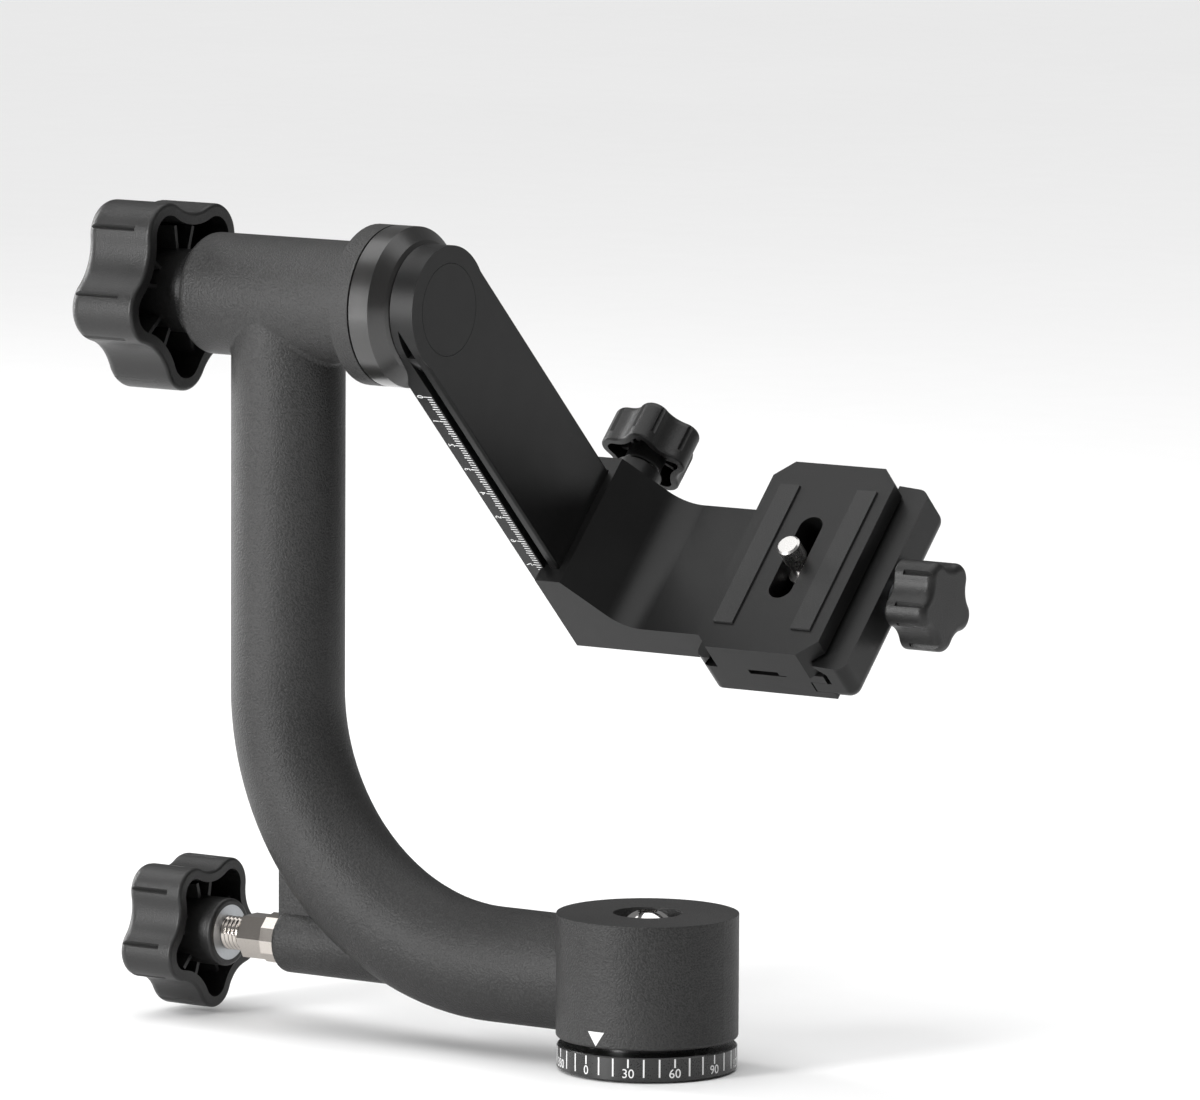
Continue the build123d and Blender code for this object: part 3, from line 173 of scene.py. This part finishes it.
# %% Finish builder
COAT_ROUGHNESS = 0.3
BLEND_FROM, BLEND_TO = 0.3, 0.7   # noise values where the first and second colour are pure
NOISE_MIDDLE = 0.5
RUB_FINENESS = 9                  # how much finer the rubbed patches are than the clouds
CLOUD_GLOSS, GRAIN_GLOSS, RUB_GLOSS = 0.1, 0.14, 0.08
BUMP_STRENGTH = 0.6


def grey(value, warm=0.0):
    """A neutral colour, tinted warm above zero and cool below it."""
    return (value * (1 + warm), value, value * (1 - warm), 1.0)


def finish(name, colour, second, rough, grain, bump, cloud=18.0, metal=0.0, coat=0.0,
           specular=0.5, stretch=None, uneven=1.0, speckle=0.5):
    """A material whose colour and roughness drift in soft clouds, over a fine grain that is bumped.

    Colours blend from colour to second by a cloud noise plus speckle times the grain. Roughness is
    rough plus small shares of cloud, grain and rubbed patches, all scaled by uneven. Bump height is
    the grain noise times bump in metres. Scales are patterns per metre, stretched on each axis.
    """
    material = bpy.data.materials.new(name)
    material.use_nodes = True
    tree = material.node_tree
    shader = tree.nodes["Principled BSDF"]
    shader.inputs["Metallic"].default_value = metal
    shader.inputs["Coat Weight"].default_value = coat
    shader.inputs["Coat Roughness"].default_value = COAT_ROUGHNESS
    shader.inputs["Specular IOR Level"].default_value = specular
    start = Shade(tree, None)
    place = start.node("ShaderNodeTexCoord", out="Object")
    if stretch:
        place = start.node("ShaderNodeMapping", Vector=place, Scale=stretch)
    clouds = start.node("ShaderNodeTexNoise", Vector=place, Scale=cloud, Detail=3.0)
    fine = start.node("ShaderNodeTexNoise", Vector=place, Scale=grain, Detail=2.0)
    rub = start.node("ShaderNodeTexNoise", Vector=place, Scale=cloud * RUB_FINENESS, Detail=4.0)
    blend = clouds + (fine - NOISE_MIDDLE) * speckle
    shade = blend.clip(BLEND_FROM, BLEND_TO).mix(colour, second)
    drift = (clouds - NOISE_MIDDLE) * CLOUD_GLOSS + (fine - NOISE_MIDDLE) * GRAIN_GLOSS
    gloss = rough + (drift + (rub - NOISE_MIDDLE) * RUB_GLOSS) * uneven
    relief = start.node("ShaderNodeBump", Strength=BUMP_STRENGTH, Distance=bump, Height=fine)
    tree.links.new(shade.socket, shader.inputs["Base Color"])
    tree.links.new(gloss.socket, shader.inputs["Roughness"])
    tree.links.new(relief.socket, shader.inputs["Normal"])
    print("finish", name)
    return material


# %% [markdown]
# ## The finishes of this head
#
# - The cast arm has a charcoal powder coat: fine pebbles about half a millimetre across.
# - Knobs are moulded in black plastic with a soft, fine spark-eroded grain.
# - The rail, bracket and clamp are anodised after a bead blast: very fine, silky and satin.
# - The tilt disc is turned and anodised, a little glossier, with a pattern drawn out round its edge.
# - Nickel, chrome and zinc are metals with a faint, cloudy unevenness.
# - The rest are pieces that hardly show: steel, bare aluminium, acetal, brass and rubber.
# - White ink is for the scales.

# %% Make the finishes
powder = finish(
    "powder_coat_charcoal", grey(0.014, 0.01), grey(0.030, 0.01), 0.50, 1900, 0.00040,
    specular=0.35, speckle=1.6)
moulded = finish(
    "moulded_black", grey(0.007, 0.01), grey(0.014, 0.01), 0.42, 2600, 0.00014,
    specular=0.4, speckle=1.0)
anodised = finish("anodised_satin", grey(0.004), grey(0.006), 0.36, 5200, 0.00003, specular=0.3)
turned_black = finish(
    "anodised_turned", grey(0.008, 0.04), grey(0.013, 0.04), 0.22, 900, 0.00001,
    coat=0.4, specular=0.7, stretch=(9.0, 1.0, 1.0), uneven=0.4)
ring_black = finish("ring_black", grey(0.006), grey(0.009), 0.28, 2600, 0.00002, coat=0.2)
nickel = finish(
    "nickel_plate", grey(0.62, 0.07), grey(0.54, 0.08), 0.16, 1500, 0.000002, metal=1.0, uneven=0.4)
chrome = finish(
    "bright_chrome", grey(0.80, 0.02), grey(0.76, 0.02), 0.10, 900, 0.000001, metal=1.0,
    uneven=0.3)
zinc = finish("zinc_plate", grey(0.52, -0.04), grey(0.44, -0.03), 0.34, 2200, 0.000004, metal=1.0)
steel = finish("ground_steel", grey(0.52), grey(0.45), 0.28, 1900, 0.00001, metal=1.0)
stainless = finish(
    "stainless_steel", grey(0.58, 0.02), grey(0.5, 0.02), 0.3, 2400, 0.00001, metal=1.0)
bare = finish("bare_aluminium", grey(0.7), grey(0.62), 0.34, 1800, 0.00001, metal=1.0)
acetal = finish("natural_acetal", grey(0.68, 0.04), grey(0.62, 0.05), 0.42, 2000, 0.00003)
brass = finish(
    "turned_brass", (0.62, 0.44, 0.16, 1), (0.52, 0.36, 0.13, 1), 0.3, 1900, 0.00001, metal=1.0)
rubber = finish("strip_rubber", grey(0.020), grey(0.028), 0.72, 2400, 0.00008, specular=0.3)
white = finish("white_ink", grey(0.78), grey(0.70), 0.50, 4000, 0.00001)

BY_SLOT = {
    "powder_coat": powder,
    "knob_plastic": moulded,
    "black_anodised": anodised,
    "polished_anodised": turned_black,
    "ring_black": ring_black,
    "nickel": nickel,
    "chromed": chrome,
    "zinc": zinc,
    "bearing_steel": steel,
    "stainless": stainless,
    "aluminium_bare": bare,
    "brake_plastic": acetal,
    "brass_gib": brass,
    "strip_rubber": rubber,
}
for part in frame["record"]["subparts"]:
    for place in nodes[part["node"]].material_slots:
        place.material = BY_SLOT[part["material_slot"]]

# %% [markdown]
# The thrust washer behind the tilt knob is blackened: it would shine as a bright ring in the dark
# gap between the knob and the tube, and on this head nothing shines there.

# %% Blackened washer
for place in nodes["tilt_pressure_washer"].material_slots:
    place.material = ring_black
print("blackened:", "tilt_pressure_washer")

# %% [markdown]
# ## Marks as thin raised ink
#
# Engraved and filled marks read as crisp white lines. A texture would blur at this size, so each
# mark is a thin slab of ink that stands a few hundredths of a millimetre proud. A slab is an
# outline of (u, v) points laid on the surface, and numbers are text made into a mesh and laid the
# same way.


# %% Helpers for marks
INK = 0.06 * MM
DIGIT_FONT_SHARE = 0.72   # height of a numeral as a share of its text size
DIGIT_STEPS = 3           # straight pieces to each curve of a numeral


def mesh_piece(name, places, faces, material, body):
    """A mesh object at the origin that rides on a body."""
    mesh = bpy.data.meshes.new(name)
    mesh.from_pydata(places, [], faces)
    mesh.materials.append(material)
    mesh.update()
    piece = bpy.data.objects.new(name, mesh)
    bpy.context.scene.collection.objects.link(piece)
    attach(piece, body)
    return piece


def slab(outline, lay):
    """Closed slab over a convex outline of (u, v) points: the outline INK below and INK above."""
    count = len(outline)
    places = [lay(u, v, depth) for depth in (-INK, INK) for u, v in outline]
    sides = [(i, (i + 1) % count, (i + 1) % count + count, i + count) for i in range(count)]
    return places, [tuple(range(count))[::-1], tuple(range(count, 2 * count)), *sides]


def joined(name, shapes, body):
    """One piece from many (places, faces) shapes."""
    places, faces = [], []
    for some_places, some_faces in shapes:
        offset = len(places)
        places += [tuple(p) for p in some_places]
        faces += [tuple(i + offset for i in face) for face in some_faces]
    return mesh_piece(name, places, faces, white, body)


def numeral(text, size, lay, u, v, turn=0.0):
    """A number's mesh, centred on (u, v), turned in the surface and laid on it."""
    curve = bpy.data.curves.new("numeral", "FONT")
    curve.body = text
    curve.size = size / DIGIT_FONT_SHARE
    curve.align_x = "CENTER"
    curve.align_y = "CENTER"
    curve.extrude = INK
    curve.resolution_u = DIGIT_STEPS
    holder = bpy.data.objects.new("numeral", curve)
    bpy.context.scene.collection.objects.link(holder)
    bpy.context.view_layer.update()
    mesh = bpy.data.meshes.new_from_object(holder)
    flat = np.array([tuple(vertex.co) for vertex in mesh.vertices])
    faces = [tuple(face.vertices) for face in mesh.polygons]
    bpy.data.objects.remove(holder)
    bpy.data.curves.remove(curve)
    bpy.data.meshes.remove(mesh)
    along = flat[:, 0] * cos(turn) - flat[:, 1] * sin(turn) + u
    up = flat[:, 0] * sin(turn) + flat[:, 1] * cos(turn) + v
    return [lay(a, b, c) for a, b, c in zip(along, up, flat[:, 2])], faces


# %% [markdown]
# ## Height scale on the rail
#
# The rail's near edge carries centimetres from 0 to 8, the last one behind the bracket at rest,
# with longer ticks at every 5 and 10 mm. The face looks out across the arm, so u runs along X and v
# up the arm. The numbers read along the arm, beside the ends of the ticks.

# %% Height scale
rail_low = arm_range("swing_arm")[0]
SCALE_INSET = 5.6 * MM
SCALE_FACE = rail_low[1]
SCALE_EDGE = rail_low[0] + SCALE_INSET
SCALE_ZERO = -16.0 * MM
TICK_WIDTH = 0.28 * MM
TICK_START = 0.4 * MM
TICK_END = {10: 2.9 * MM, 5: 2.5 * MM, 1: 2.1 * MM}
NUMBER_PLACE = 4.15 * MM
NUMBER_SIZE = 1.9 * MM
SCALE_LENGTH = 80         # millimetres, one tick to each


def lay_on_rail(u, v, depth):
    """u from the groove's edge towards the back, v up the arm, depth out of the face."""
    return swing_point(SCALE_EDGE - u, SCALE_FACE - depth, v)


shapes = []
for step in range(SCALE_LENGTH + 1):
    length = TICK_END[10 if step % 10 == 0 else 5 if step % 5 == 0 else 1]
    middle = SCALE_ZERO - step * MM
    low, high = middle - TICK_WIDTH / 2, middle + TICK_WIDTH / 2
    corners = [(TICK_START, low), (TICK_START, high), (length, high), (length, low)]
    shapes.append(slab(corners, lay_on_rail))
for number in range(SCALE_LENGTH // 10 + 1):
    middle = SCALE_ZERO - number * 10 * MM
    shapes.append(numeral(str(number), NUMBER_SIZE, lay_on_rail, NUMBER_PLACE, middle, pi / 2))
height_scale = joined("height_scale_marks", shapes, "swing")
print("height scale:", len(height_scale.data.vertices), "points")

# %% [markdown]
# ## Degree ring
#
# The ring is a cylinder, so a mark's u is an angle times the radius and v is its height. Ticks come
# every ten degrees. Every third one is shorter and has its number below it. Zero sits where the
# index triangle points close to it at rest.

# %% Ring marks
ring_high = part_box("degree_ring")[1]
RING_RADIUS = ring_high.x
RING_ZERO = radians(-98.2)
RING_TICK = 0.42 * MM
RING_MARGIN = 0.35 * MM
RING_TOP = ring_high.z - RING_MARGIN
RING_STEP = 10            # degrees between ticks
NUMBER_EVERY = 3          # ticks from one number to the next
RING_LONG = 1.2 * MM      # height of a long tick's foot
RING_SHORT = 3.6 * MM     # and of a short one's, above its number
RING_NUMBER = 2.4 * MM
RING_NUMBER_PLACE = 2.0 * MM


def lay_on_ring(u, v, depth):
    """u round the ring from its zero mark, v up, depth outwards."""
    angle = RING_ZERO + u / RING_RADIUS
    radius = RING_RADIUS + depth
    return np.array((radius * cos(angle), radius * sin(angle), v))


shapes = []
for step in range(360 // RING_STEP):
    middle = radians(step * RING_STEP) * RING_RADIUS
    numbered = step % NUMBER_EVERY == 0
    foot = RING_SHORT if numbered else RING_LONG
    low, high = middle - RING_TICK / 2, middle + RING_TICK / 2
    shapes.append(slab([(low, foot), (high, foot), (high, RING_TOP), (low, RING_TOP)], lay_on_ring))
    if numbered:
        label = str(step * RING_STEP)
        shapes.append(numeral(label, RING_NUMBER, lay_on_ring, middle, RING_NUMBER_PLACE))
ring_marks = joined("degree_ring_marks", shapes, "base")
print("ring marks:", len(ring_marks.data.vertices), "points")

# %% [markdown]
# ## Index triangle
#
# A white triangle on the pan housing points down at the ring. It is laid as rows of small slabs,
# so that it follows the housing's curve.

# %% Index
INDEX_LOW = 8.6 * MM
INDEX_HIGH = 12.3 * MM
INDEX_WIDTH = 4.9 * MM
HOUSING_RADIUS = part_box("arm_casting")[1].x


def lay_on_housing(u, v, depth):
    """u round the housing from the side that faces -Y, v up, depth outwards."""
    angle = -pi / 2 + u / HOUSING_RADIUS
    radius = HOUSING_RADIUS + depth
    return np.array((radius * cos(angle), radius * sin(angle), v))


ROWS = 9
COLUMNS = 4
TIP_SHARE = 0.02          # the lowest row ends in a narrow edge, not in a point
shapes = []
for row in range(ROWS):
    low, high = (INDEX_LOW + (INDEX_HIGH - INDEX_LOW) * share / ROWS for share in (row, row + 1))
    wide, wider = (INDEX_WIDTH / 2 * share / ROWS for share in (row + TIP_SHARE, row + 1))
    steps = np.linspace(-1, 1, COLUMNS + 1)
    for left, right in zip(steps[:-1], steps[1:]):
        corners = [
            (left * wide, low), (right * wide, low), (right * wider, high), (left * wider, high)]
        shapes.append(slab(corners, lay_on_housing))
index_mark = joined("index_triangle", shapes, "arm")
print("index triangle:", len(index_mark.data.vertices), "points")

# %% [markdown]
# ## Thread behind the pan knob
#
# The lock rod is a threaded stud. A thread is one profile carried along a helix: the radius is a
# triangle wave of the distance along the rod less the turned share of the pitch. The sleeve covers
# only the stretch that shows, and sits just proud of the plain rod.

# %% Thread
PITCH = 1.25 * MM
rod_low, rod_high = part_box("pan_lock_rod")
ROD_RADIUS = (rod_high.z - rod_low.z) / 2
ROD_HEIGHT = (rod_high.z + rod_low.z) / 2
KNOB_GAP = 0.05 * MM
BUSH_GAP = 0.7 * MM
THREAD_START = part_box("pan_knob_insert")[1].x + KNOB_GAP
THREAD_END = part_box("pan_lock_bush")[0].x - BUSH_GAP
THREAD_PROUD = 0.02 * MM
THREAD_DEPTH = 0.45 * MM
CREST_CUT = 1.25          # the wave is stretched by this and cut at 1, which flattens the crests
AROUND = 72
ALONG = 96


def thread_sleeve():
    """Grid over angle a and distance s along the rod.

    radius = rod + depth * triangle wave of (s - a's share of a turn * pitch) / pitch
    """
    angle = np.linspace(0, 2 * pi, AROUND, endpoint=False)[None, :]
    distance = np.linspace(THREAD_START, THREAD_END, ALONG)[:, None]
    phase = (distance - angle / (2 * pi) * PITCH) / PITCH % 1.0
    wave = 1 - np.abs(2 * phase - 1)
    radius = ROD_RADIUS + THREAD_PROUD + THREAD_DEPTH * np.clip(wave * CREST_CUT, 0, 1)
    across, height = radius * np.cos(angle), ROD_HEIGHT + radius * np.sin(angle)
    return np.stack((distance + 0 * angle, across, height), -1)


grid = thread_sleeve()
here = np.arange(ALONG * AROUND).reshape(ALONG, AROUND)
right = np.roll(here, -1, axis=1)
faces = np.stack((here[:-1], right[:-1], right[1:], here[1:]), -1).reshape(-1, 4)
caps = [tuple(here[0][::-1]), tuple(here[-1])]
thread = mesh_piece(
    "pan_lock_thread", grid.reshape(-1, 3).tolist(), [tuple(f) for f in faces.tolist()] + caps,
    nickel, "pan_lock")
thread.data.polygons.foreach_set("use_smooth", [True] * len(thread.data.polygons))
print("thread:", len(thread.data.polygons), "faces")

# %% [markdown]
# ## Camera, floor and light
#
# The camera looks from the right front with a long lens, so the pieces keep their true
# proportions. Two large soft lights stand at the front left and the left, so that the side that
# faces +X stays dark.

# %% Camera
CAMERA_PLACE = Vector((1.3538, -2.0266, 0.4382))
CAMERA_FORWARD = Vector((-0.5555, 0.8222, -0.1240))
CAMERA_LENS = 288.7
CAMERA_ROLL = radians(0.324)
SENSOR_WIDTH = 36.0
FARTHEST_SEEN = 50.0
camera_data = bpy.data.cameras.new("camera")
camera_data.sensor_width = SENSOR_WIDTH
camera_data.lens = CAMERA_LENS
camera_data.clip_end = FARTHEST_SEEN
camera = bpy.data.objects.new("camera", camera_data)
bpy.context.scene.collection.objects.link(camera)
turn = CAMERA_FORWARD.to_track_quat("-Z", "Y").to_matrix().to_4x4()
roll = Matrix.Rotation(CAMERA_ROLL, 4, "Z")
camera.matrix_world = Matrix.Translation(CAMERA_PLACE) @ turn @ roll
bpy.context.scene.camera = camera
print("camera lens:", CAMERA_LENS)

# %% Floor
FLOOR_HALF = 6.0
FLOOR_DROP = 0.5 * MM
floor_mesh = bpy.data.meshes.new("floor")
corners = [(x * FLOOR_HALF, y * FLOOR_HALF, 0) for x, y in ((-1, -1), (1, -1), (1, 1), (-1, 1))]
floor_mesh.from_pydata(corners, [], [(0, 1, 2, 3)])
floor = bpy.data.objects.new("floor", floor_mesh)
floor.location.z = cad_low.z - FLOOR_DROP
bpy.context.scene.collection.objects.link(floor)
paper = finish("pale_floor", grey(0.92), grey(0.90), 0.7, 40, 0.0001, cloud=2.0, specular=0.2)
floor_mesh.materials.append(paper)

# %% [markdown]
# The room is white where the camera looks at it, and dimmer as a light, so that the black finishes
# keep their depth. A Light Path node tells the two apart. Colours are shown without a film curve,
# because the curve would lift the blacks.

# %% Room
ROOM_SEEN = 1.0
ROOM_LIGHT = 0.2
world = bpy.data.worlds.new("studio")
bpy.context.scene.world = world
world.use_nodes = True
bpy.context.scene.view_settings.view_transform = "Standard"
background = world.node_tree.nodes["Background"]
background.inputs["Color"].default_value = grey(1.0)
ray = Shade(world.node_tree, None).node("ShaderNodeLightPath", out="Is Camera Ray")
strength = ray * (ROOM_SEEN - ROOM_LIGHT) + ROOM_LIGHT
world.node_tree.links.new(strength.socket, background.inputs["Strength"])
print("room light:", ROOM_LIGHT)


# %% Lights
def softbox(name, place, target, width, height, power):
    """A rectangular area light that looks at the target."""
    light = bpy.data.lights.new(name, "AREA")
    light.shape = "RECTANGLE"
    light.size = width
    light.size_y = height
    light.energy = power
    lamp = bpy.data.objects.new(name, light)
    bpy.context.scene.collection.objects.link(lamp)
    way = Vector(target) - Vector(place)
    turn = way.to_track_quat("-Z", "Y").to_matrix().to_4x4()
    lamp.matrix_world = Matrix.Translation(place) @ turn


MIDDLE = ((cad_low + cad_high) / 2)[:]
softbox("front_left_box", (-0.6, -1.5, 0.45), MIDDLE, width=0.45, height=1.0, power=30)
softbox("left_box", (-1.6, 0.1, 0.6), MIDDLE, width=0.6, height=1.2, power=20)

# %% [markdown]
# The floor runs far behind the head, where the boxes don't reach. One very wide, weak sun from
# straight above lights all of it evenly and leaves only a soft shadow under the head.

# %% Sky light
SKY_POWER = 2.3
SKY_SPREAD = radians(80)
sky = bpy.data.lights.new("sky_light", "SUN")
sky.energy = SKY_POWER
sky.angle = SKY_SPREAD
bpy.context.scene.collection.objects.link(bpy.data.objects.new("sky_light", sky))
print("lights:", len(bpy.data.lights))
